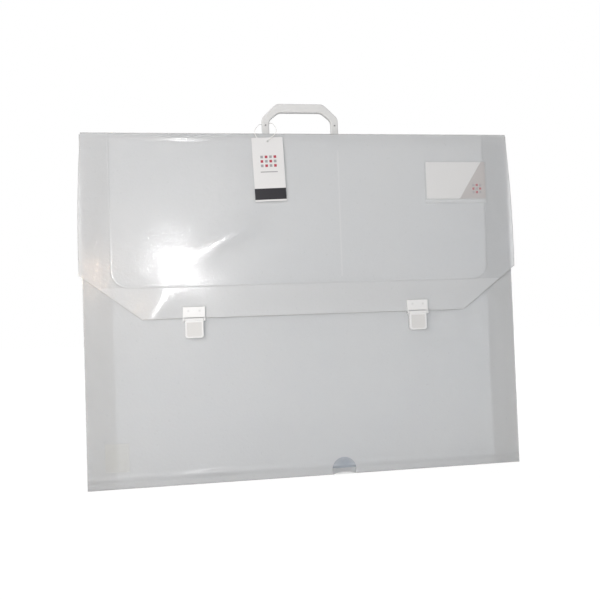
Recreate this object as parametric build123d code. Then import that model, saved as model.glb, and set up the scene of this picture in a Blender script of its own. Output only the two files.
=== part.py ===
from build123d import *
from math import radians, tan
import os

os.makedirs("parts", exist_ok=True)

# Folded sheet: millimetres, X across, Y from the front to the back, Z up
case_width = 640.0
case_height = 505.0
case_depth = 36.0
sheet = 0.9
crease_gap = 0.15
fold_round = 0.7
flap_gap = 2.2
top_width = 635.0

# Front panel: the mouth at its top and the thumb hole at its lower crease
mouth_width = 560.0
mouth_bottom = 283.0
mouth_corner = 24.0
tab_width = 40.0
post_gap = 0.3
thumb_x = 46.0
thumb_radius = 18.0
thumb_above_crease = 7.0

# Flap outline
shoulder_width = 648.0
shoulder_height = 302.0
bow_width = 645.5
bow_height = 413.0
tongue_width = 478.0
flap_edge = 237.5
shoulder_round = 5.0
tongue_round = 12.0

# Strip that doubles the top spine where the handle passes
doubler_width = 600.0
doubler_depth = 24.0

# Carrying handle
handle_width = 116.0
handle_rise = 50.0
handle_thickness = 7.0
leg_width = 11.0
grip_height = 13.6
chamfer_across = 22.5
chamfer_down = 21.5
inner_chamfer_across = 15.0
inner_chamfer_down = 12.2
bend_round = 12.0
handle_round = 1.6
slot_clearance = 0.3
foot_overhang = 4.0
foot_height = 3.0
foot_depth = 12.0
stop_pin_rise = 17.2
stop_pin_radius = 1.1
stop_pin_proud = 0.8
pin_hole_clearance = 0.05

# Clasps
clasp_x = 166.0
plate_width = 32.0
plate_height = 15.5
plate_thickness = 2.5
plate_lift = 0.5
plate_round = 0.8
ear_width = 2.6
knuckle_radius = 2.6
knuckle_drop = 2.6
knuckle_stand = 1.6
hinge_pin_radius = 1.0
hinge_pin_clearance = 0.05
hinge_pin_proud = 0.4
barrel_radius = 2.4
barrel_gap = 0.4
lever_width = 26.0
lever_drop = 29.0
lever_top_drop = 3.2
lever_front = 3.4
lever_back = 2.6
lever_rim = 1.6
lever_face = 1.5
lever_corner = 4.0
pocket_top_drop = 6.5
recess_inset = 2.4
recess_depth = 0.5
peg_radius = 1.5
peg_clearance = 0.1
peg_spread = 16.0
peg_lift = 10.0
backing_width = 26.0
backing_height = 10.0
backing_thickness = 1.0
peg_head_radius = 2.2
peg_head_height = 0.4

# Catches under the levers
catch_width = 21.2
catch_top_drop = 8.0
catch_bottom_drop = 26.4
catch_base = 1.0
boss_width = 18.0
boss_top_drop = 10.0
boss_bottom_drop = 24.4
boss_rise = 4.3
boss_round = 0.8

# Card pocket on the flap
pocket_inset = 85.0
pocket_z = 430.5
pocket_width = 99.0
pocket_height = 64.0
film = 0.3
pocket_rim = 2.0
card_width = 94.0
card_height = 56.0
card_thickness = 0.4
card_air = 0.15

# Clear sticker on the front panel
sticker_inset = 41.5
sticker_z = 44.0
sticker_width = 33.0
sticker_height = 39.5
sticker_thickness = 0.15

# Swing tag and its thread
tag_x = -51.3
tag_z = 451.3
tag_width = 46.0
tag_height = 94.0
tag_thickness = 0.5
tag_tilt = 2.0
tag_corner = 0.8
tag_hole = Vector(-52.0, 0, 492.8)
tag_hole_radius = 1.4
tag_air = 1.75
thread_radius = 0.45
lock_radius = 1.2
thread_fold_share = 0.45

# Route of the thread: it starts and ends at the lock behind the left leg of the handle
thread_route = [
    (-53.8, 7.2, 525.7),
    (-59.4, 7.2, 525.7),
    (-62.2, 2.0, 523.8),
    (-64.6, -4.5, 519.6),
    (-67.4, -11.5, 515.0),
    (-70.0, -17.6, 510.6),
    (-71.2, -20.4, 505.4),
    (-69.0, -18.6, 499.6),
    (-63.6, -18.35, 495.2),
    (-57.6, -18.35, 492.6),
    (-52.5, -18.35, 492.5),
    (-51.3, -21.0, 493.2),
    (-48.0, -21.4, 496.8),
    (-42.6, -21.4, 501.2),
    (-38.6, -20.8, 506.4),
    (-38.2, -16.6, 511.6),
    (-39.4, -10.4, 517.2),
    (-41.4, -3.6, 522.8),
    (-43.6, 3.0, 526.8),
    (-46.2, 7.2, 527.0),
    (-48.8, 7.2, 525.7),
    (-51.2, 7.2, 525.7),
]

# Places that follow from the sizes above
total_depth = case_depth + flap_gap + sheet + knuckle_stand + knuckle_radius
back_y = total_depth / 2
front_y = back_y - case_depth
flap_y = front_y - flap_gap - sheet
handle_y = (flap_y + back_y) / 2
lid_axis_y = back_y - sheet / 2
flap_axis_y = flap_y + sheet / 2
top_axis_z = case_height - sheet / 2
spine_bottom = case_height - sheet
doubler_bottom = spine_bottom - sheet
post_top = doubler_bottom - post_gap
pocket_x = case_width / 2 - pocket_inset
sticker_x = sticker_inset - case_width / 2
knuckle_z = flap_edge - knuckle_drop
knuckle_y = flap_y - knuckle_stand


def front_plane(y):
    """Drawing plane seen from the front: its x is X, its y is Z, and it extrudes towards the viewer."""
    return Plane(origin=(0, y, 0), x_dir=(1, 0, 0), z_dir=(0, -1, 0))


def slab(outline, back, thickness):
    """A flat outline drawn in X and Z, from its back face towards the viewer."""
    return extrude(front_plane(back) * outline, amount=thickness, dir=(0, -1, 0))


def block(x, y, z):
    """A block from three pairs of limits."""
    size = (x[1] - x[0], y[1] - y[0], z[1] - z[0])
    centre = ((x[0] + x[1]) / 2, (y[0] + y[1]) / 2, (z[0] + z[1]) / 2)
    return Pos(*centre) * Box(*size)


def rod_x(x, y, z, radius):
    """A round rod along X between two limits."""
    return Pos((x[0] + x[1]) / 2, y, z) * Rot(0, 90, 0) * Cylinder(radius, x[1] - x[0])


def rod_y(x, y, z, radius):
    """A round rod along Y between two limits."""
    return Pos(x, (y[0] + y[1]) / 2, z) * Rot(90, 0, 0) * Cylinder(radius, y[1] - y[0])


def save(shape, node):
    export_step(shape, f"parts/{node}.step")


# Back panel, with a round upper edge on which the lid turns
def make_back_panel():
    half = case_width / 2
    panel = block((-half, half), (back_y - sheet, back_y), (sheet, top_axis_z))
    return panel + rod_x((-half, half), lid_axis_y, top_axis_z, sheet / 2)


# The round hole runs over the crease between the front panel and the bottom spine
def thumb_hole_in_front():
    return rod_y(thumb_x, (front_y - sheet, front_y + 2 * sheet), thumb_above_crease, thumb_radius)


def thumb_hole_in_spine():
    return Pos(thumb_x, front_y - thumb_above_crease, sheet / 2) * Cylinder(thumb_radius, 3 * sheet)


def make_bottom_spine():
    half = case_width / 2
    spine = block((-half, half), (front_y, back_y), (0, sheet))
    lower = spine.edges().filter_by(Axis.X).group_by(Axis.Z)[0]
    return fillet(lower, fold_round) - thumb_hole_in_spine()


def make_front_panel():
    half = case_width / 2
    sides = Pos(0, (sheet + post_top) / 2) * Rectangle(case_width, post_top - sheet)
    mouth = Pos(0, (mouth_bottom + case_height) / 2) * Rectangle(mouth_width, case_height - mouth_bottom)
    mouth = fillet(mouth.vertices().group_by(Axis.Y)[0], mouth_corner)
    panel = slab(sides - mouth, front_y + sheet, sheet) - thumb_hole_in_front()
    for side in (-1, 1):
        centre = side * clasp_x
        for peg in (-1, 1):
            x = centre + peg * peg_spread / 2
            panel -= rod_y(x, (front_y - sheet, front_y + 2 * sheet), catch_peg_z(), peg_radius + peg_clearance)
    return panel


# Side wall with the tab that is welded behind the front panel
def make_side_wall(side):
    half = case_width / 2
    wall = block((half - sheet, half), (front_y + sheet, back_y - sheet), (sheet, post_top))
    tab = block((half - tab_width, half - sheet), (front_y + sheet, front_y + 2 * sheet), (sheet, post_top))
    shape = wall + tab
    if side < 0:
        shape = mirror(shape, Plane.YZ)
    return shape


def leg_slots(bottom, top):
    """The two slots for the legs of the handle, between two heights."""
    slots = []
    wide = leg_width + 2 * slot_clearance
    deep = handle_thickness + 2 * slot_clearance
    for side in (-1, 1):
        x = side * (handle_width - leg_width) / 2
        slots.append(Pos(x, handle_y, (bottom + top) / 2) * Box(wide, deep, top - bottom))
    return slots


# Top spine, with a round front edge on which the flap turns
def make_top_spine():
    half = top_width / 2
    rear = lid_axis_y - sheet / 2 - crease_gap
    spine = block((-half, half), (flap_axis_y, rear), (spine_bottom, case_height))
    spine += rod_x((-half, half), flap_axis_y, top_axis_z, sheet / 2)
    for slot in leg_slots(spine_bottom - sheet, case_height + sheet):
        spine -= slot
    return spine


def make_spine_doubler():
    half = doubler_width / 2
    y = (handle_y - doubler_depth / 2, handle_y + doubler_depth / 2)
    strip = block((-half, half), y, (doubler_bottom, spine_bottom))
    for slot in leg_slots(doubler_bottom - sheet, spine_bottom + sheet):
        strip -= slot
    return strip


# Flap: bowed sides, shoulders, and a tongue that tapers to the clasps
def make_flap():
    top_z = top_axis_z - sheet / 2 - crease_gap
    right_top = (top_width / 2, top_z)
    right_bow = (bow_width / 2, bow_height)
    right_shoulder = (shoulder_width / 2, shoulder_height)
    right_tongue = (tongue_width / 2, flap_edge)
    mirrored = [(-x, z) for x, z in (right_top, right_bow, right_shoulder, right_tongue)]
    left_top, left_bow, left_shoulder, left_tongue = mirrored
    outline = Wire(
        [
            Edge.make_three_point_arc(right_top, right_bow, right_shoulder),
            Edge.make_line(right_shoulder, right_tongue),
            Edge.make_line(right_tongue, left_tongue),
            Edge.make_line(left_tongue, left_shoulder),
            Edge.make_three_point_arc(left_shoulder, left_bow, left_top),
            Edge.make_line(left_top, right_top),
        ]
    )
    face = Sketch() + Face(outline)
    rows = face.vertices().group_by(Axis.Y)
    face = fillet(rows[0], tongue_round)
    shoulders = [v for v in face.vertices() if abs(v.Y - shoulder_height) < fold_round]
    face = fillet(shoulders, shoulder_round)
    flap = slab(face, flap_axis_y + sheet / 2, sheet)
    for side in (-1, 1):
        for peg in (-1, 1):
            x = side * clasp_x + peg * peg_spread / 2
            y = (flap_y - sheet, flap_y + 2 * sheet)
            flap -= rod_y(x, y, flap_edge + peg_lift, peg_radius + peg_clearance)
    return flap


# Handle: one moulding, its feet lie under the doubled spine
def make_handle():
    half = handle_width / 2
    top = case_height + handle_rise
    foot_top = doubler_bottom - slot_clearance
    inner = half - leg_width
    under = top - grip_height
    outer_right = [
        (half, foot_top),
        (half, top - chamfer_down),
        (half - chamfer_across, top),
    ]
    inner_right = [
        (inner - inner_chamfer_across, under),
        (inner, under - inner_chamfer_down),
        (inner, foot_top),
    ]
    outer = outer_right + [(-x, z) for x, z in reversed(outer_right)]
    inside = inner_right + [(-x, z) for x, z in reversed(inner_right)]
    arch = make_face(Polyline(*outer, close=True)) - make_face(Polyline(*inside, close=True))
    bends = [v for v in arch.vertices() if v.Y > foot_top + foot_height]
    arch = fillet(bends, bend_round)
    handle = slab(arch, handle_y + handle_thickness / 2, handle_thickness)
    rims = [e for e in handle.edges().filter_by(Axis.Y, reverse=True) if e.center().Z > case_height + leg_width]
    handle = fillet(rims, handle_round)
    for side in (-1, 1):
        x = side * (half - leg_width / 2)
        across = leg_width / 2 + foot_overhang
        foot_y = (handle_y - foot_depth / 2, handle_y + foot_depth / 2)
        foot = block((x - across, x + across), foot_y, (foot_top - foot_height, foot_top))
        handle += fillet(foot.edges().filter_by(Axis.Z), handle_round)
        hole_y = (handle_y - handle_thickness, handle_y + handle_thickness)
        hole_radius = stop_pin_radius + pin_hole_clearance
        handle -= rod_y(x, hole_y, case_height + stop_pin_rise, hole_radius)
    return handle


# Two pins through the legs stop the handle when it is pushed down
def make_stop_pins():
    pins = []
    reach = handle_thickness / 2 + stop_pin_proud
    for side in (-1, 1):
        x = side * (handle_width - leg_width) / 2
        pin = rod_y(x, (handle_y - reach, handle_y + reach), case_height + stop_pin_rise, stop_pin_radius)
        pins.append(fillet(pin.edges(), stop_pin_proud / 2))
    return Compound(children=pins)


def pegs(x, front, back, z):
    """Two pegs along Y beside a centre, each with a flattened head at its back end."""
    shapes = []
    for side in (-1, 1):
        place = x + side * peg_spread / 2
        shapes.append(rod_y(place, (front, back), z, peg_radius))
        shapes.append(rod_y(place, (back, back + peg_head_height), z, peg_head_radius))
    return shapes


# Upper half of a clasp, pegged through the flap, with the two ears of its hinge
def make_clasp_plate(x):
    bottom = flap_edge + plate_lift
    plate_y = (flap_y - plate_thickness, flap_y)
    plate = block((x - plate_width / 2, x + plate_width / 2), plate_y, (bottom, bottom + plate_height))
    front = plate.faces().sort_by(Axis.Y)[0]
    plate = fillet(front.edges(), plate_round)
    for side in (-1, 1):
        outer = x + side * plate_width / 2
        inner = outer - side * ear_width
        limits = (min(inner, outer), max(inner, outer))
        ear = rod_x(limits, knuckle_y, knuckle_z, knuckle_radius)
        web_y = (flap_y - plate_thickness + plate_round, flap_y)
        ear += block(limits, web_y, (knuckle_z, bottom + plate_round))
        plate += ear
    pin_limits = (x - plate_width, x + plate_width)
    plate -= rod_x(pin_limits, knuckle_y, knuckle_z, hinge_pin_radius)
    for peg in pegs(x, flap_y, flap_y + sheet + backing_thickness, flap_edge + peg_lift):
        plate += peg
    return plate


def backing(x, front, z, height):
    """A small plate behind the sheet, over the pegs."""
    limits = (x - backing_width / 2, x + backing_width / 2)
    plate = block(limits, (front, front + backing_thickness), (z - height / 2, z + height / 2))
    plate = fillet(plate.edges().filter_by(Axis.Y), plate_round)
    for side in (-1, 1):
        place = x + side * peg_spread / 2
        hole_y = (front - sheet, front + backing_thickness + sheet)
        plate -= rod_y(place, hole_y, z, peg_radius + peg_clearance)
    return plate


def make_hinge_pin(x):
    reach = plate_width / 2 + hinge_pin_proud
    return rod_x((x - reach, x + reach), knuckle_y, knuckle_z, hinge_pin_radius)


# Lever: a shallow cap that closes over the catch, hung on its barrel
def make_lever(x):
    half = lever_width / 2
    y = (flap_y - lever_front, flap_y + lever_back)
    bottom = flap_edge - lever_drop
    lever = block((x - half, x + half), y, (bottom, flap_edge - lever_top_drop))
    corners = lever.edges().filter_by(Axis.Y).group_by(Axis.Z)[0]
    lever = fillet(corners, lever_corner)
    face_edges = lever.faces().sort_by(Axis.Y)[0].edges()
    lever = fillet(face_edges, plate_round)
    inner = half - lever_rim
    pocket_y = (flap_y - lever_front + lever_face, flap_y + lever_back + sheet)
    pocket_z = (bottom + lever_rim, flap_edge - pocket_top_drop)
    pocket = block((x - inner, x + inner), pocket_y, pocket_z)
    lower = pocket.edges().filter_by(Axis.Y).group_by(Axis.Z)[0]
    lever -= fillet(lower, lever_corner - lever_rim)
    recess_half = half - recess_inset
    recess_y = (flap_y - lever_front - sheet, flap_y - lever_front + recess_depth)
    recess_z = (bottom + recess_inset, flap_edge - pocket_top_drop)
    recess = block((x - recess_half, x + recess_half), recess_y, recess_z)
    lower = recess.edges().filter_by(Axis.Y).group_by(Axis.Z)[0]
    lever -= fillet(lower, lever_corner - recess_inset / 2)
    barrel_half = plate_width / 2 - ear_width - barrel_gap
    lever += rod_x((x - barrel_half, x + barrel_half), knuckle_y, knuckle_z, barrel_radius)
    bore = hinge_pin_radius + hinge_pin_clearance
    return lever - rod_x((x - plate_width, x + plate_width), knuckle_y, knuckle_z, bore)


def catch_peg_z():
    """Height of the pegs that hold a catch."""
    return flap_edge - (catch_top_drop + catch_bottom_drop) / 2


# Catch: a low boss on the front panel that the lever snaps over
def make_catch(x):
    base_z = (flap_edge - catch_bottom_drop, flap_edge - catch_top_drop)
    half = catch_width / 2
    base = block((x - half, x + half), (front_y - catch_base, front_y), base_z)
    boss_z = (flap_edge - boss_bottom_drop, flap_edge - boss_top_drop)
    boss_half = boss_width / 2
    boss = block((x - boss_half, x + boss_half), (front_y - boss_rise, front_y - catch_base), boss_z)
    boss = fillet(boss.faces().sort_by(Axis.Y)[0].edges(), boss_round)
    catch = base + boss
    for peg in pegs(x, front_y, front_y + sheet + backing_thickness, catch_peg_z()):
        catch += peg
    return catch


# Card pocket: a clear film welded round its rim, open at its top edge, with a card in it
def make_card_pocket():
    deep = card_thickness + 2 * card_air + film
    x = (pocket_x - pocket_width / 2, pocket_x + pocket_width / 2)
    z = (pocket_z - pocket_height / 2, pocket_z + pocket_height / 2)
    body = block(x, (flap_y - deep, flap_y), z)
    body = fillet(body.edges().filter_by(Axis.Y), pocket_rim)
    inner_x = (x[0] + pocket_rim, x[1] - pocket_rim)
    hollow = block(inner_x, (flap_y - deep + film, flap_y + film), (z[0] + pocket_rim, z[1] + pocket_rim))
    return body - hollow


def make_card():
    x = (pocket_x - card_width / 2, pocket_x + card_width / 2)
    top = pocket_z + pocket_height / 2 - film
    y = (flap_y - card_air - card_thickness, flap_y - card_air)
    return block(x, y, (top - card_height, top))


def make_sticker():
    x = (sticker_x - sticker_width / 2, sticker_x + sticker_width / 2)
    z = (sticker_z - sticker_height / 2, sticker_z + sticker_height / 2)
    return block(x, (front_y - sticker_thickness, front_y), z)


# Swing tag: a card that hangs before the flap
def make_swing_tag():
    card = Rectangle(tag_width, tag_height)
    card = fillet(card.vertices(), tag_corner)
    card = Pos(tag_x, tag_z) * Rot(0, 0, tag_tilt) * card
    card -= Pos(tag_hole.X, tag_hole.Z) * Circle(tag_hole_radius)
    return slab(card, flap_y - tag_air, tag_thickness)


# Thread: straight runs joined by arcs as large as the runs allow
def thread_radii():
    points = [Vector(*p) for p in thread_route]
    radii = []
    for before, corner, after in zip(points, points[1:], points[2:]):
        run_in = corner - before
        run_out = after - corner
        half_turn = radians(run_in.get_angle(run_out)) / 2
        radii.append(thread_fold_share * min(run_in.length, run_out.length) / tan(half_turn))
    return radii


def make_thread():
    radii = thread_radii()
    path = FilletPolyline(*thread_route, radius=radii)
    start = Plane(origin=path @ 0, z_dir=path % 0)
    tube = sweep(start * Circle(thread_radius), path=path)
    expected = 3.141593 * thread_radius ** 2 * path.length
    print("thread length", round(path.length, 2), "smallest radius", round(min(radii), 2))
    print("thread radii", [round(r, 1) for r in radii])
    print("thread volume over section times length", round(tube.volume / expected, 4))
    return tube


def make_thread_lock():
    first = Vector(*thread_route[0])
    last = Vector(*thread_route[-1])
    return rod_x((first.X, last.X), first.Y, first.Z, lock_radius)


save(make_back_panel(), "back_panel")
save(make_bottom_spine(), "bottom_spine")
save(make_front_panel(), "front_panel")
save(make_side_wall(-1), "left_side_wall")
save(make_side_wall(1), "right_side_wall")
save(make_top_spine(), "top_spine")
save(make_spine_doubler(), "spine_doubler")
save(make_flap(), "flap")
save(make_handle(), "handle")
save(make_stop_pins(), "handle_stop_pins")
for name, x in (("left", -clasp_x), ("right", clasp_x)):
    save(make_clasp_plate(x), f"{name}_clasp_plate")
    save(backing(x, flap_y + sheet, flap_edge + peg_lift, backing_height), f"{name}_clasp_backing")
    save(make_hinge_pin(x), f"{name}_hinge_pin")
    save(make_lever(x), f"{name}_lever")
    save(make_catch(x), f"{name}_catch")
    save(backing(x, front_y + sheet, catch_peg_z(), backing_height), f"{name}_catch_backing")
save(make_card_pocket(), "card_pocket")
save(make_card(), "name_card")
save(make_sticker(), "clear_sticker")
save(make_swing_tag(), "swing_tag")
save(make_thread(), "tag_thread")
save(make_thread_lock(), "thread_lock")
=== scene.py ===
import bpy
from math import cos, radians, sin
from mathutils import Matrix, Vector


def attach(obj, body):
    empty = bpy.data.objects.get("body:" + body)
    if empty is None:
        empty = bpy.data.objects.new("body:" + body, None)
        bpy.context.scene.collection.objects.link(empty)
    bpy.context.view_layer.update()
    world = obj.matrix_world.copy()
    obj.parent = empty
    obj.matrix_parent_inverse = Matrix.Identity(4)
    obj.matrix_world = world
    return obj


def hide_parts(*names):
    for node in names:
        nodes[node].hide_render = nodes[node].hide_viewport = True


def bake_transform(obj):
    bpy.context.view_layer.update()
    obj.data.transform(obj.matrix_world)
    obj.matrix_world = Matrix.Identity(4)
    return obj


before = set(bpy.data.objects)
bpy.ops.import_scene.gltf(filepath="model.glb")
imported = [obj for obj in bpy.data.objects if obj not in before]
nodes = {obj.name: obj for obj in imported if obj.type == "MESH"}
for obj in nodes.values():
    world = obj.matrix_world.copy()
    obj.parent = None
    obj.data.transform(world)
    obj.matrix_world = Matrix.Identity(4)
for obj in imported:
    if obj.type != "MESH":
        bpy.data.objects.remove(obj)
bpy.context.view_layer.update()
bpy.ops.object.select_all(action="DESELECT")


# Viewpoint: an eye a metre in front of the case and a little to its left,
# level with the middle of the case, as a shop photograph is taken.
camera_place = (-0.1439, -0.9479, 0.2323)
camera_turn = (91.595, 1.998, -8.014)
camera_lens = 38.4

bpy.ops.object.camera_add(location=camera_place, rotation=[radians(a) for a in camera_turn])
camera = bpy.context.object
camera.name = "camera"
camera.data.lens = camera_lens
camera.data.sensor_width = 36.0
camera.data.clip_start = 0.01
bpy.context.scene.camera = camera
bpy.context.scene.view_settings.view_transform = "Standard"


# Tag thread: a loop of fine clear nylon, drawn and cut to length, pushed into its
# own little barrel. It goes round the left leg of the handle and through the tag.
thread_thickness = 0.0009
thread_route = [
    (-0.0538, 0.0072, 0.5257),
    (-0.0594, 0.0072, 0.5257),
    (-0.0622, 0.002, 0.5238),
    (-0.0646, -0.0045, 0.5196),
    (-0.0674, -0.0115, 0.515),
    (-0.07, -0.0176, 0.5106),
    (-0.0712, -0.0204, 0.5054),
    (-0.069, -0.0186, 0.4996),
    (-0.0636, -0.01835, 0.4952),
    (-0.0576, -0.01835, 0.4926),
    (-0.0525, -0.01835, 0.4925),
    (-0.0513, -0.021, 0.4932),
    (-0.048, -0.0214, 0.4968),
    (-0.0426, -0.0214, 0.5012),
    (-0.0386, -0.0208, 0.5064),
    (-0.0382, -0.0166, 0.5116),
    (-0.0394, -0.0104, 0.5172),
    (-0.0414, -0.0036, 0.5228),
    (-0.0436, 0.003, 0.5268),
    (-0.0462, 0.0072, 0.527),
    (-0.0488, 0.0072, 0.5257),
    (-0.0512, 0.0072, 0.5257),
]


def thread_curve(name, bevel):
    """The thread's line as a curve object."""
    data = bpy.data.curves.new(name, "CURVE")
    data.dimensions = "3D"
    data.resolution_u = 8
    spline = data.splines.new("NURBS")
    spline.points.add(len(thread_route) - 1)
    for point, place in zip(spline.points, thread_route):
        point.co = (*place, 1)
    spline.order_u = 3
    spline.use_endpoint_u = True
    data.bevel_depth = bevel
    data.bevel_resolution = 3
    data.use_fill_caps = True
    curve = bpy.data.objects.new(name, data)
    bpy.context.scene.collection.objects.link(curve)
    return curve


def start_material(name, colour, roughness):
    """A new material with its colour and roughness set, its nodes and its shader."""
    material = bpy.data.materials.new(name)
    material.use_nodes = True
    tree = material.node_tree
    shader = tree.nodes["Principled BSDF"]
    shader.inputs["Base Color"].default_value = (*colour, 1)
    shader.inputs["Roughness"].default_value = roughness
    return material, tree, shader


def object_point(tree):
    """The place on the piece, in metres."""
    return tree.nodes.new("ShaderNodeTexCoord").outputs["Object"]


def noise(tree, point, scale, detail=2.0):
    """Cloudy values between 0 and 1, scale to the metre."""
    node = tree.nodes.new("ShaderNodeTexNoise")
    node.inputs["Scale"].default_value = scale
    node.inputs["Detail"].default_value = detail
    tree.links.new(point, node.inputs["Vector"])
    return node.outputs["Fac"]


def tint(tree, value, low, high):
    """A colour between low and high."""
    node = tree.nodes.new("ShaderNodeMix")
    node.data_type = "RGBA"
    node.inputs["A"].default_value = (*low, 1)
    node.inputs["B"].default_value = (*high, 1)
    tree.links.new(value, node.inputs["Factor"])
    return node.outputs["Result"]


def bump(tree, height, shader, depth):
    """Raises the surface by height, depth metres at most."""
    node = tree.nodes.new("ShaderNodeBump")
    node.inputs["Strength"].default_value = 1.0
    node.inputs["Distance"].default_value = depth
    tree.links.new(height, node.inputs["Height"])
    earlier = shader.inputs["Normal"].links
    if earlier:
        tree.links.new(earlier[0].from_socket, node.inputs["Normal"])
    tree.links.new(node.outputs["Normal"], shader.inputs["Normal"])


def nylon():
    material, tree, shader = start_material("clear_nylon", (0.80, 0.80, 0.78), 0.25)
    point = object_point(tree)
    tree.links.new(tint(tree, noise(tree, point, 300), (0.74, 0.74, 0.71), (0.86, 0.86, 0.84)),
                   shader.inputs["Base Color"])
    bump(tree, noise(tree, point, 2500), shader, 0.00002)
    shader.inputs["Coat Weight"].default_value = 0.4
    return material


def dress(material, *names):
    """Gives CAD nodes a material."""
    for name in names:
        data = nodes[name].data
        data.materials.clear()
        data.materials.append(material)


line = thread_curve("thread_line", 0.0)
line_mesh = bpy.data.meshes.new_from_object(line)
bpy.data.objects.remove(line)

tube = thread_curve("thread_tube", thread_thickness / 2)
bpy.ops.object.select_all(action="DESELECT")
tube.select_set(True)
bpy.context.view_layer.objects.active = tube
bpy.ops.object.convert(target="MESH")
thread = bpy.context.object
thread.name = "nylon_thread"
bpy.ops.object.shade_smooth()
nylon_material = nylon()
thread.data.materials.append(nylon_material)
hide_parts("tag_thread")
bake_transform(thread)
dress(nylon_material, "thread_lock")


# Case sheet: extruded polypropylene, just under a millimetre thick, with a fine
# orange-peel grain that frosts it. The panels are creased out of one cut sheet.
panel_alpha = 0.56
flap_alpha = 0.66
front_low, front_high = (0.655, 0.68, 0.71), (0.705, 0.72, 0.735)
# Painted light: the tabs of the side walls get a paler copy of the sheet's colour, making up for the
# light the layers over them keep out.
tab_painted_light_low, tab_painted_light_high = (0.77, 0.77, 0.76), (0.83, 0.82, 0.81)
# Painted shade: the spines and side walls get a darker copy of the sheet's colour.
wall_painted_shade_low, wall_painted_shade_high = (0.53, 0.535, 0.54), (0.59, 0.59, 0.59)
cloud_scale = 5
sway_scale, sway_depth = 14, 0.0012
grain_scale, grain_depth = 260, 0.00015
dimple_scale, dimple_depth = 300, 0.00018
crease_beads = ((0.4985, 0.0045, 0.0011, -0.170), (0.0150, 0.0043, 0.0028, -0.135))
bead_reach = 0.035
sheet_roughness = (0.22, 0.40)
scatter_reach = 0.004
shine, shine_roughness = 0.5, 0.07
tab_outer = 0.319


def sum_of(tree, operation, first, second=0.0):
    """One step of arithmetic: each side is a number or another node's output."""
    node = tree.nodes.new("ShaderNodeMath")
    node.operation = operation
    for socket, value in zip(node.inputs, (first, second)):
        if isinstance(value, (int, float)):
            socket.default_value = value
        else:
            tree.links.new(value, socket)
    return node.outputs["Value"]


def product(tree, first, second):
    return sum_of(tree, "MULTIPLY", first, second)


def hump(tree, value, centre, width):
    """A smooth rise to 1 where value is at the centre."""
    off = sum_of(tree, "SUBTRACT", value, centre)
    squared = sum_of(tree, "POWER", sum_of(tree, "ABSOLUTE", sum_of(tree, "DIVIDE", off, width)), 2.0)
    return sum_of(tree, "EXPONENT", product(tree, squared, -1.0))


def spread(tree, value, low, high):
    """Values between 0 and 1 laid out between low and high."""
    return sum_of(tree, "ADD", product(tree, value, high - low), low)


def across_and_up(tree, point, x=0.0, z=0.0, turn=0.0):
    """Distances from a place on the front, along an axis turned from level and square to it."""
    parts = tree.nodes.new("ShaderNodeSeparateXYZ")
    tree.links.new(point, parts.inputs["Vector"])
    right = sum_of(tree, "SUBTRACT", parts.outputs["X"], x)
    above = sum_of(tree, "SUBTRACT", parts.outputs["Z"], z)
    along = sum_of(tree, "ADD", product(tree, right, cos(turn)),
                   product(tree, above, sin(turn)))
    square = sum_of(tree, "SUBTRACT", product(tree, above, cos(turn)),
                    product(tree, right, sin(turn)))
    return along, square


def skin(tree, shader):
    """The sheet's surface: soft dimples in the shine over a finer grain in the plastic."""
    point = object_point(tree)
    dimples = tree.nodes.new("ShaderNodeBump")
    dimples.inputs["Strength"].default_value = 1.0
    dimples.inputs["Distance"].default_value = dimple_depth
    tree.links.new(noise(tree, point, dimple_scale, 1), dimples.inputs["Height"])
    tree.links.new(shader.inputs["Normal"].links[0].from_socket, dimples.inputs["Normal"])
    tree.links.new(dimples.outputs["Normal"], shader.inputs["Coat Normal"])
    bump(tree, noise(tree, point, grain_scale, 3), shader, grain_depth)


def frosted_sheet(name, low, high, alpha):
    """Frosted plastic with the raised beads beside its long creases, still without its skin."""
    material, tree, shader = start_material(name, low, 0.3)
    point = object_point(tree)
    tree.links.new(tint(tree, noise(tree, point, cloud_scale, 3), low, high), shader.inputs["Base Color"])
    grain = noise(tree, point, grain_scale, 3)
    tree.links.new(spread(tree, grain, *sheet_roughness), shader.inputs["Roughness"])
    bump(tree, noise(tree, point, sway_scale, 1), shader, sway_depth)
    level, height = across_and_up(tree, point)
    for centre, width, rise, strongest in crease_beads:
        swell = spread(tree, hump(tree, level, strongest, bead_reach), 0.35, 1.0)
        bump(tree, product(tree, hump(tree, height, centre, width), swell), shader, rise)
    shader.inputs["Alpha"].default_value = alpha
    shader.inputs["Subsurface Weight"].default_value = 1.0
    shader.inputs["Subsurface Radius"].default_value = (1.0, 1.0, 1.0)
    shader.inputs["Subsurface Scale"].default_value = scatter_reach
    shader.inputs["Coat Weight"].default_value = shine
    shader.inputs["Coat Roughness"].default_value = shine_roughness
    return material, tree, shader


def plain_sheet(name, low, high):
    material, tree, shader = frosted_sheet(name, low, high, panel_alpha)
    skin(tree, shader)
    return material


def paint_faces(name, material, chosen):
    """Gives the chosen faces of a CAD node a second material."""
    data = nodes[name].data
    data.materials.append(material)
    for face in data.polygons:
        if chosen(face):
            face.material_index = len(data.materials) - 1


dress(plain_sheet("front_sheet", front_low, front_high), "front_panel")
# Painted shade: the spines and side walls take the darker copy of the sheet.
dress(plain_sheet("wall_sheet_painted_shade", wall_painted_shade_low, wall_painted_shade_high),
      "bottom_spine", "top_spine", "spine_doubler", "left_side_wall", "right_side_wall")
# Painted light: the front and back faces of the side walls' tabs take the paler copy.
tab_painted_light_material = plain_sheet("tab_sheet_painted_light", tab_painted_light_low, tab_painted_light_high)
for wall in ("left_side_wall", "right_side_wall"):
    paint_faces(wall, tab_painted_light_material,
                lambda face: abs(face.normal.y) > 0.9 and abs(face.center.x) < tab_outer)


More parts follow.
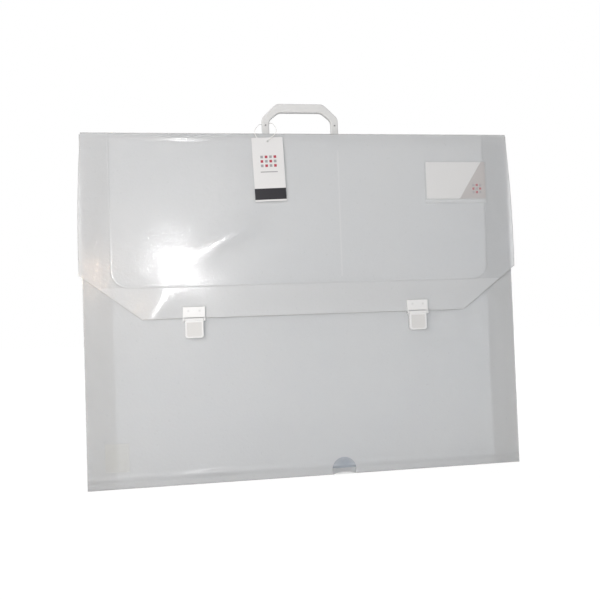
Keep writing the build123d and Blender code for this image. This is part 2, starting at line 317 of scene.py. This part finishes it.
# Back panel: the same sheet. On its inside face, dark lines of painted shade and pale
# lines of painted highlight run along its creases, a pale painted highlight line runs
# along each side fold, and the inside face has painted shade behind the thumb hole,
# which shows through from the front.
painted_crease_lines = ((0.0025, 0.10), (0.0060, 0.95), (0.5020, 0.10), (0.4985, 0.95))
side_highlight, side_highlight_colour = 0.3165, (0.95, 0.95, 0.93)
line_width = 0.0012
hole_view, hole_view_reach = (0.0533, -0.002), 0.030
hole_shade = (0.26, 0.32, 0.40)


def over(tree, shader, mask, colour):
    """Lays a flat colour over the shader's own where the mask is 1."""
    base = shader.inputs["Base Color"]
    node = tree.nodes.new("ShaderNodeMix")
    node.data_type = "RGBA"
    if base.links:
        tree.links.new(base.links[0].from_socket, node.inputs["A"])
    else:
        node.inputs["A"].default_value = base.default_value
    node.inputs["B"].default_value = (*colour, 1)
    tree.links.new(mask, node.inputs["Factor"])
    tree.links.new(node.outputs["Result"], base)


def distance(tree, first, second):
    """The length of a line that goes first across and second up."""
    squares_sum = sum_of(tree, "ADD", product(tree, first, first), product(tree, second, second))
    return sum_of(tree, "SQRT", squares_sum)


def back_sheet():
    material, tree, shader = frosted_sheet("back_sheet", front_low, front_high, panel_alpha)
    geometry = tree.nodes.new("ShaderNodeNewGeometry")
    facing = tree.nodes.new("ShaderNodeSeparateXYZ")
    tree.links.new(geometry.outputs["True Normal"], facing.inputs["Vector"])
    inner = sum_of(tree, "LESS_THAN", facing.outputs["Y"], -0.5)
    level, height = across_and_up(tree, object_point(tree))
    # Painted shade (dark) and painted highlight (pale) lines along the creases, inside face only.
    for centre, shade in painted_crease_lines:
        crease = product(tree, inner, hump(tree, height, centre, line_width))
        over(tree, shader, crease, (shade, shade, shade))
    # Painted highlight: a pale line along each side fold.
    side = sum_of(tree, "ABSOLUTE", level)
    over(tree, shader, hump(tree, side, side_highlight, line_width), side_highlight_colour)
    # Painted shade on the inside face behind the thumb hole.
    beside, above = across_and_up(tree, object_point(tree), *hole_view)
    reach = distance(tree, beside, above)
    over(tree, shader, product(tree, inner, hump(tree, reach, 0.0, hole_view_reach)), hole_shade)
    skin(tree, shader)
    return material


dress(back_sheet(), "back_panel")


# Flap: the same sheet again. It is pressed over the edge of the mouth below it, with a
# line of painted shade along the press, has a pale line down its middle, and two shallow
# dents that run out from one place. Where it lies over the front panel it is painted
# paler, painted light that makes up for the light the front panel behind it misses.
dent_place = (-0.186, 0.306)
upper_turn, lower_turn = radians(33), radians(60)
dent_width, dent_reach, dent_curve = 0.019, 0.12, 0.50
mouth_half, mouth_bottom, mouth_corner = 0.280, 0.283, 0.024
press_width, press_depth = 0.0012, 0.00013
press_shade_colour, press_shade_share = (0.45, 0.46, 0.47), 0.16
overlap_painted_light = (0.785, 0.81, 0.835)
pale_line_x, pale_line_width = 0.0526, 0.0010
pale_line_bottom, pale_line_top = 0.292, 0.480
pale_line_colour, pale_line_share = (0.95, 0.95, 0.95), 0.2


def within(tree, value, low, high):
    """1 where value lies between low and high, 0 elsewhere."""
    past_low = sum_of(tree, "GREATER_THAN", value, low)
    return product(tree, past_low, sum_of(tree, "LESS_THAN", value, high))


def dent(tree, shader, turn, end):
    """A valley that deepens away from the dents' place, on one side of it."""
    along, square = across_and_up(tree, object_point(tree), *dent_place, turn)
    along = sum_of(tree, end, along, 0.0)
    squared = product(tree, along, along)
    dip = product(tree, squared, hump(tree, square, 0.0, dent_width))
    dip = product(tree, dip, hump(tree, squared, 0.0, dent_reach ** 2))
    bump(tree, dip, shader, dent_curve)


def flap_sheet():
    material, tree, shader = frosted_sheet("flap_sheet", front_low, front_high, flap_alpha)
    dent(tree, shader, upper_turn, "MAXIMUM")
    dent(tree, shader, lower_turn, "MINIMUM")
    level, height = across_and_up(tree, object_point(tree))
    beside = sum_of(tree, "SUBTRACT", sum_of(tree, "ABSOLUTE", level), mouth_half - mouth_corner)
    beside = sum_of(tree, "MAXIMUM", beside, 0.0)
    below = sum_of(tree, "SUBTRACT", mouth_bottom + mouth_corner, height)
    below = sum_of(tree, "MAXIMUM", below, 0.0)
    reach = distance(tree, beside, below)
    pressed = hump(tree, reach, mouth_corner, press_width)
    bump(tree, pressed, shader, press_depth)
    on_front = product(tree, sum_of(tree, "GREATER_THAN", reach, mouth_corner),
                       within(tree, height, 0.0, mouth_bottom))
    # Painted light: the flap is paler where it lies over the front panel.
    over(tree, shader, on_front, overlap_painted_light)
    # Painted shade: a darker line where the flap is pressed over the mouth's edge.
    over(tree, shader, product(tree, pressed, press_shade_share), press_shade_colour)
    # A faint pale line down the flap.
    pale_line = product(tree, hump(tree, level, pale_line_x, pale_line_width),
                     within(tree, height, pale_line_bottom, pale_line_top))
    over(tree, shader, product(tree, pale_line, pale_line_share), pale_line_colour)
    skin(tree, shader)
    return material


dress(flap_sheet(), "flap")


# Cut edges: the punch leaves a slightly raised, rounded rim along the flap's outline
# and round the mouth of the front panel, which catches the light as a thin line.
# The mouth's rim, seen through the flap, is painted near black: a line of painted shade.
flap_rim_radius, flap_rim_y = 0.00035, -0.01710
mouth_rim_radius, mouth_rim_y = 0.0006, -0.0139
flap_top, bow_height, shoulder_height, flap_edge = 0.5039, 0.413, 0.302, 0.2375
flap_top_half, bow_half, shoulder_half, tongue_half = 0.3175, 0.32275, 0.324, 0.239


def arc_half(z):
    """Half the flap's width at a height of its bowed side."""
    low, middle, high = shoulder_height, bow_height, flap_top
    return (shoulder_half * (z - middle) * (z - high) / ((low - middle) * (low - high))
            + bow_half * (z - low) * (z - high) / ((middle - low) * (middle - high))
            + flap_top_half * (z - low) * (z - middle) / ((high - low) * (high - middle)))


def rim(name, half_outline, y, radius, body, material):
    """A fine rounded rim along an outline that is the same on both sides."""
    outline = half_outline + [(-x, z) for x, z in reversed(half_outline)]
    data = bpy.data.curves.new(name, "CURVE")
    data.dimensions = "3D"
    spline = data.splines.new("POLY")
    spline.points.add(len(outline) - 1)
    for point, (x, z) in zip(spline.points, outline):
        point.co = (x, y, z, 1)
    data.bevel_depth = radius
    data.bevel_resolution = 2
    data.use_fill_caps = True
    curve = bpy.data.objects.new(name, data)
    bpy.context.scene.collection.objects.link(curve)
    bpy.ops.object.select_all(action="DESELECT")
    curve.select_set(True)
    bpy.context.view_layer.objects.active = curve
    bpy.ops.object.convert(target="MESH")
    piece = bpy.context.object
    bpy.ops.object.shade_smooth()
    piece.data.materials.append(material)
    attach(piece, body)


rim_steps = 12
flap_heights = [flap_top + (shoulder_height - flap_top) * i / rim_steps for i in range(rim_steps + 1)]
flap_half = [(arc_half(z), z) for z in flap_heights] + [(tongue_half, flap_edge)]
mouth_top = 0.500
corner_turns = [radians(a) for a in range(0, 91, 15)]
mouth_outline = [(mouth_half, mouth_top)]
mouth_outline += [(mouth_half - mouth_corner * (1 - cos(a)), mouth_bottom + mouth_corner * (1 - sin(a)))
                  for a in corner_turns]


def cut_edge(name, low, high):
    material, tree, shader = start_material(name, low, 0.25)
    point = object_point(tree)
    tree.links.new(tint(tree, noise(tree, point, 120, 3), low, high), shader.inputs["Base Color"])
    bump(tree, noise(tree, point, 900), shader, 0.00004)
    return material


flap_cut = cut_edge("flap_cut", (0.58, 0.58, 0.58), (0.70, 0.70, 0.70))
# Painted shade: the mouth's rim is near black.
mouth_cut_painted_shade = cut_edge("mouth_cut_painted_shade", (0.12, 0.12, 0.12), (0.2, 0.2, 0.2))
rim("flap_rim", flap_half, flap_rim_y, flap_rim_radius, "flap", flap_cut)
rim("mouth_rim", mouth_outline, mouth_rim_y, mouth_rim_radius, "case", mouth_cut_painted_shade)


# Handle: injection-moulded white plastic with a faint grain, snapped through the slots
# of the spine and held by its feet below and by two small metal pins above.
def moulded(name, colour, roughness, grain_depth):
    material, tree, shader = start_material(name, colour, roughness)
    point = object_point(tree)
    pale = [min(1.0, c * 1.05) for c in colour]
    tree.links.new(tint(tree, noise(tree, point, 40, 3), colour, pale), shader.inputs["Base Color"])
    grain = noise(tree, point, 1800, 2)
    tree.links.new(spread(tree, grain, roughness - 0.06, roughness + 0.08), shader.inputs["Roughness"])
    bump(tree, grain, shader, grain_depth)
    return material


handle_material = moulded("handle_plastic", (0.61, 0.615, 0.615), 0.42, 0.00003)
dress(handle_material, "handle")

pin_material = moulded("pin_metal", (0.30, 0.30, 0.31), 0.35, 0.00001)
pin_material.node_tree.nodes["Principled BSDF"].inputs["Metallic"].default_value = 1.0
dress(pin_material, "handle_stop_pins", "left_hinge_pin", "right_hinge_pin")


# Clasps: glossy white mouldings. The plate is pegged through the flap, the lever
# turns on its pin and snaps over the catch, which is pegged through the front panel.
clasp_x = 0.166
peg_apart, peg_z, peg_radius = 0.008, 0.2475, 0.0016
under_barrel = 0.225
recess_least, recess_most = 0.0003, 0.0008


def clasp_plastic():
    material = moulded("clasp_plastic", (0.71, 0.715, 0.72), 0.28, 0.00002)
    tree = material.node_tree
    shader = tree.nodes["Principled BSDF"]
    level, height = across_and_up(tree, object_point(tree))
    side = sum_of(tree, "ABSOLUTE", sum_of(tree, "SUBTRACT", sum_of(tree, "ABSOLUTE", level), clasp_x))
    peg = product(tree, hump(tree, side, peg_apart, peg_radius), hump(tree, height, peg_z, peg_radius))
    # Painted shade: a grey dot over each peg stands in for the shade of a shallow sink mark.
    over(tree, shader, product(tree, peg, 0.5), (0.45, 0.45, 0.46))
    return material


clasp_material = clasp_plastic()
# Painted shade: the lever's faces set back in its recess get a darker plastic.
recess_shade_material = moulded("clasp_recess_painted_shade", (0.60, 0.60, 0.595), 0.45, 0.00003)
for side in ("left", "right"):
    dress(clasp_material, f"{side}_clasp_plate", f"{side}_lever", f"{side}_catch")
    dress(clasp_material, f"{side}_clasp_backing", f"{side}_catch_backing")
    front = min(v.co.y for v in nodes[f"{side}_lever"].data.vertices if v.co.z < under_barrel)
    shallow, deep = front + recess_least, front + recess_most
    paint_faces(f"{side}_lever", recess_shade_material,
                lambda face: face.normal.y < -0.9 and shallow < face.center.y < deep)


# Card pocket: clear film welded to the flap round its rim, open at one end for a card.
# The sticker, lower left on the front, is a similar film with a faint yellow cast.
def clear_film(name, colour, alpha):
    material, tree, shader = start_material(name, colour, 0.12)
    point = object_point(tree)
    tree.links.new(spread(tree, noise(tree, point, 60), 0.08, 0.2), shader.inputs["Roughness"])
    bump(tree, noise(tree, point, 90), shader, 0.00008)
    shader.inputs["Alpha"].default_value = alpha
    return material


dress(clear_film("pocket_film", (0.85, 0.86, 0.86), 0.10), "card_pocket")
dress(clear_film("sticker_film", (0.95, 0.94, 0.86), 0.11), "clear_sticker")


def plain_card(name):
    material, tree, shader = start_material(name, (0.65, 0.65, 0.655), 0.4)
    point = object_point(tree)
    tree.links.new(tint(tree, noise(tree, point, 900, 3), (0.635, 0.635, 0.64), (0.67, 0.67, 0.675)),
                   shader.inputs["Base Color"])
    bump(tree, noise(tree, point, 1400), shader, 0.00001)
    return material


# Printed card and swing tag: white board with small squares in red and grey, in rows.
# The tag has a thin rule and a dark band, the card a grey corner cut off on a slant.
print_red = (0.38, 0.035, 0.06)
print_grey = (0.30, 0.30, 0.31)
ink = (0.008, 0.007, 0.012)
tag_centre, tag_turn = (-0.0513, 0.4513), radians(2)
tag_squares, tag_cell = (-0.0643, 0.4530), 0.0065
band_span, rule_span, rule_half = (-0.0445, -0.0280), (-0.0045, -0.0030), 0.0125
card_slant, card_slant_turn = (0.2412, 0.4075), radians(57.6)
card_shade = (0.44, 0.41, 0.41)
card_squares, card_cell = (0.2600, 0.4130), 0.0055


def squares(tree, shader, across, up, cell, columns, rows):
    """Rows of squares, red and grey by turns, counted to the right and upwards."""
    column = sum_of(tree, "DIVIDE", across, cell)
    row = sum_of(tree, "DIVIDE", up, cell)
    inside = product(tree, within(tree, column, 0, columns), within(tree, row, 0, rows))
    for part in (column, row):
        inside = product(tree, inside, within(tree, sum_of(tree, "FRACT", part), 0.2, 0.8))
    count = sum_of(tree, "ADD", sum_of(tree, "FLOOR", column), sum_of(tree, "FLOOR", row))
    odd = sum_of(tree, "FLOORED_MODULO", count, 2.0)
    over(tree, shader, inside, print_grey)
    over(tree, shader, product(tree, inside, odd), print_red)


def swing_tag_print():
    material = plain_card("swing_tag_print")
    tree = material.node_tree
    shader = tree.nodes["Principled BSDF"]
    point = object_point(tree)
    across, up = across_and_up(tree, point, *tag_centre, tag_turn)
    over(tree, shader, within(tree, up, *band_span), ink)
    rule = product(tree, within(tree, across, -rule_half, rule_half), within(tree, up, *rule_span))
    over(tree, shader, rule, print_grey)
    start_across, start_up = across_and_up(tree, point, *tag_squares, tag_turn)
    squares(tree, shader, start_across, start_up, tag_cell, 4, 3)
    return material


def name_card_print():
    material = plain_card("name_card_print")
    tree = material.node_tree
    shader = tree.nodes["Principled BSDF"]
    point = object_point(tree)
    along, square = across_and_up(tree, point, *card_slant, card_slant_turn)
    over(tree, shader, sum_of(tree, "LESS_THAN", square, 0.0), card_shade)
    start_across, start_up = across_and_up(tree, point, *card_squares)
    squares(tree, shader, start_across, start_up, card_cell, 3, 3)
    return material


dress(name_card_print(), "name_card")
dress(swing_tag_print(), "swing_tag")


# Room: a pale floor and an even white surround, with soft lamps to the left and a
# small one beside the eye that gives the sheet its glare. To the eye alone the floor
# glows white, a little less near the case, and the glow is cut back in a rectangle
# under the case, so the floor is darker there: partly its real shadow, partly painted
# shade where the glow is missing.
floor_size = 12.0
floor_glow = 1.08
near, near_share, far, far_share = 0.3, 0.85, 0.9, 1.0
footprint_half, footprint_front, footprint_back = 0.319, -0.0138, 0.021
footprint_loss = 0.6
surround_on_object = 0.45


def floor_paint():
    material, tree, shader = start_material("floor_paint", (0.85, 0.85, 0.85), 0.8)
    glow = tree.nodes.new("ShaderNodeEmission")
    glow.inputs["Strength"].default_value = floor_glow
    mix = tree.nodes.new("ShaderNodeMixShader")
    light_path = tree.nodes.new("ShaderNodeLightPath")
    from_middle = tree.nodes.new("ShaderNodeVectorMath")
    from_middle.operation = "LENGTH"
    tree.links.new(object_point(tree), from_middle.inputs[0])
    fade = tree.nodes.new("ShaderNodeMapRange")
    fade.inputs["From Min"].default_value = near
    fade.inputs["From Max"].default_value = far
    fade.inputs["To Min"].default_value = near_share
    fade.inputs["To Max"].default_value = far_share
    tree.links.new(from_middle.outputs["Value"], fade.inputs["Value"])
    place = tree.nodes.new("ShaderNodeSeparateXYZ")
    tree.links.new(object_point(tree), place.inputs["Vector"])
    # Painted shade: less glow under the case's footprint.
    under = product(tree, within(tree, place.outputs["X"], -footprint_half, footprint_half),
                    within(tree, place.outputs["Y"], footprint_front, footprint_back))
    open_floor = sum_of(tree, "SUBTRACT", 1.0, product(tree, under, footprint_loss))
    share = product(tree, product(tree, fade.outputs["Result"], open_floor),
                   light_path.outputs["Is Camera Ray"])
    tree.links.new(share, mix.inputs["Fac"])
    tree.links.new(shader.outputs["BSDF"], mix.inputs[1])
    tree.links.new(glow.outputs["Emission"], mix.inputs[2])
    tree.links.new(mix.outputs["Shader"], tree.nodes["Material Output"].inputs["Surface"])
    return material


bpy.ops.mesh.primitive_plane_add(size=floor_size, location=(0, 0, 0))
floor = bpy.context.object
floor.name = "floor"
floor.data.materials.append(floor_paint())

world = bpy.data.worlds.new("surround")
bpy.context.scene.world = world
world.use_nodes = True
world_tree = world.node_tree
surround = world_tree.nodes["Background"]
surround_path = world_tree.nodes.new("ShaderNodeLightPath")
seen = world_tree.nodes.new("ShaderNodeMapRange")
seen.inputs["To Min"].default_value = surround_on_object
seen.inputs["To Max"].default_value = 1.0
surround.inputs["Color"].default_value = (1, 1, 1, 1)
world_tree.links.new(surround_path.outputs["Is Camera Ray"], seen.inputs["Value"])
world_tree.links.new(seen.outputs["Result"], surround.inputs["Strength"])


def soft_lamp(name, place, aim, size, power):
    """A square lamp that faces a point."""
    bpy.ops.object.light_add(type="AREA", location=place)
    lamp = bpy.context.object
    lamp.name = name
    lamp.data.size = size
    lamp.data.energy = power
    lamp.rotation_euler = (Vector(aim) - Vector(place)).to_track_quat("-Z", "Y").to_euler()


soft_lamp("window", place=(-1.3, -1.5, 1.1), aim=(-0.1, 0.0, 0.25), size=1.2, power=21.3)
soft_lamp("flash", place=(-0.240, -1.212, 0.422), aim=(-0.186, 0.0, 0.31), size=0.12, power=2.8)
soft_lamp("warm_lamp", place=(-0.500, -1.212, 0.398), aim=(-0.3, 0.0, 0.3), size=0.022, power=0.6)
soft_lamp("side_lamp", place=(-1.0, -0.9, 0.3), aim=(-0.3, 0.0, 0.25), size=0.4, power=0.9)
soft_lamp("rear_window", place=(0.9, 1.7, 1.1), aim=(0.0, 0.0, 0.25), size=1.2, power=14.0)
bpy.data.objects["warm_lamp"].data.color = (1.0, 0.72, 0.48)
bpy.data.objects["side_lamp"].data.color = (1.0, 0.68, 0.42)
